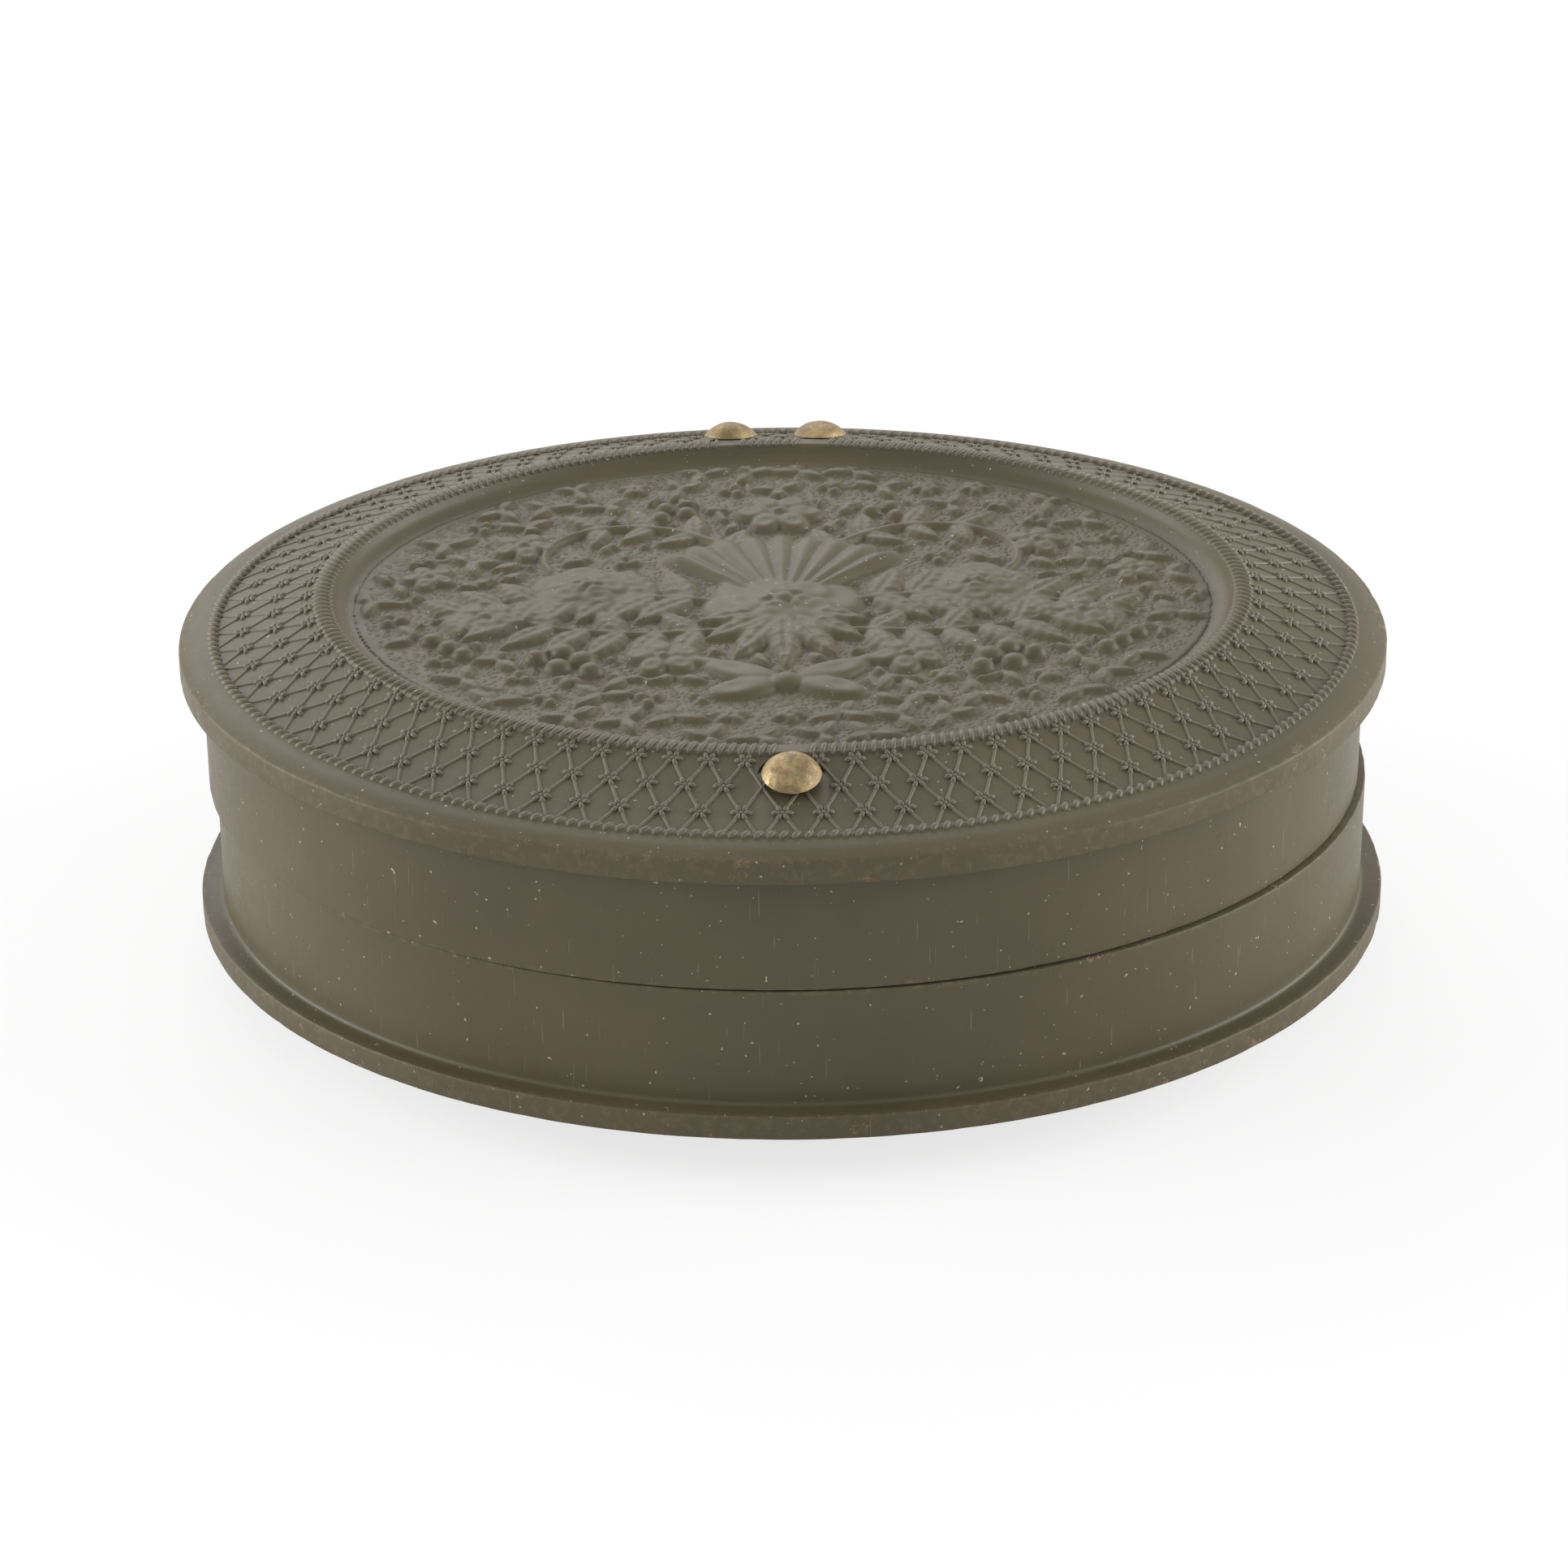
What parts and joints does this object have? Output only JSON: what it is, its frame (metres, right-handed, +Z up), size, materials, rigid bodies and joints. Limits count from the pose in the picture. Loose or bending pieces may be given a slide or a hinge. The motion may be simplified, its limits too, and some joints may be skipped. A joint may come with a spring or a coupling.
{
  "type": "oval photograph case",
  "caption": "Closed oval thermoplastic photograph case with a riveted brass hinge and spring catch, a glazed picture packet in the base and a velvet pad in the lid.",
  "frame": {"origin": "on the surface the case stands on, under the middle of the closed case", "axes": "+X along the oval's long axis, +Y towards the hinge at the back, +Z up out of the lid"},
  "size_m": [0.0794, 0.0674, 0.0259],
  "materials": {
    "union_plastic": "moulded shellac and wood fibre composition, olive brown, satin with fine scratches and worn edges",
    "hinge_brass": "thin rolled sheet, tarnished",
    "rivet_brass": "domed rivet head, brown patina with dents",
    "pin_steel": "dull drawn wire",
    "velvet": "dark red short pile velvet",
    "paper": "aged rag paper, matte",
    "card": "grey brown pasteboard, matte",
    "cotton": "raw cotton batting",
    "silvered_plate": "bare silvered copper plate, faintly tarnished at the rim",
    "mat_brass": "thin lacquered brass, pebbled face",
    "glass": "clear cover glass, slightly wavy"
  },
  "bodies": {
    "base": {"base_shell": "union_plastic", "hinge_leaf_base": "hinge_brass", "hinge_pin": "pin_steel", "base_hinge_rivet_left": "rivet_brass", "base_hinge_rivet_right": "rivet_brass", "base_catch_rivet": "rivet_brass", "catch_keeper": "hinge_brass", "retaining_strip": "velvet", "label_paper": "paper", "packing_card": "card", "picture_plate": "silvered_plate", "brass_mat": "mat_brass", "cover_glass": "glass", "binding_tape": "paper", "preserver": "mat_brass"},
    "lid": {"lid_shell": "union_plastic", "hinge_leaf_lid": "hinge_brass", "lid_hinge_rivet_left": "rivet_brass", "lid_hinge_rivet_right": "rivet_brass", "lid_catch_rivet": "rivet_brass", "pad_board": "card", "pad_batting": "cotton", "velvet_pad": "velvet"},
    "catch": {"catch_tongue": "hinge_brass"}
  },
  "joints": [
    {"name": "lid_hinge", "type": "hinge", "parent": "base", "child": "lid", "pos_m": [0, 0.03265, 0.0127], "axis": [-1, 0, 0], "range_deg": [0, 160]},
    {"name": "catch_flex", "type": "hinge", "parent": "lid", "child": "catch", "pos_m": [-0.00025, -0.0267, 0.02195], "axis": [1, 0, 0], "range_deg": [0, 3], "stiffness_Nm_per_rad": 0.2}
  ]
}
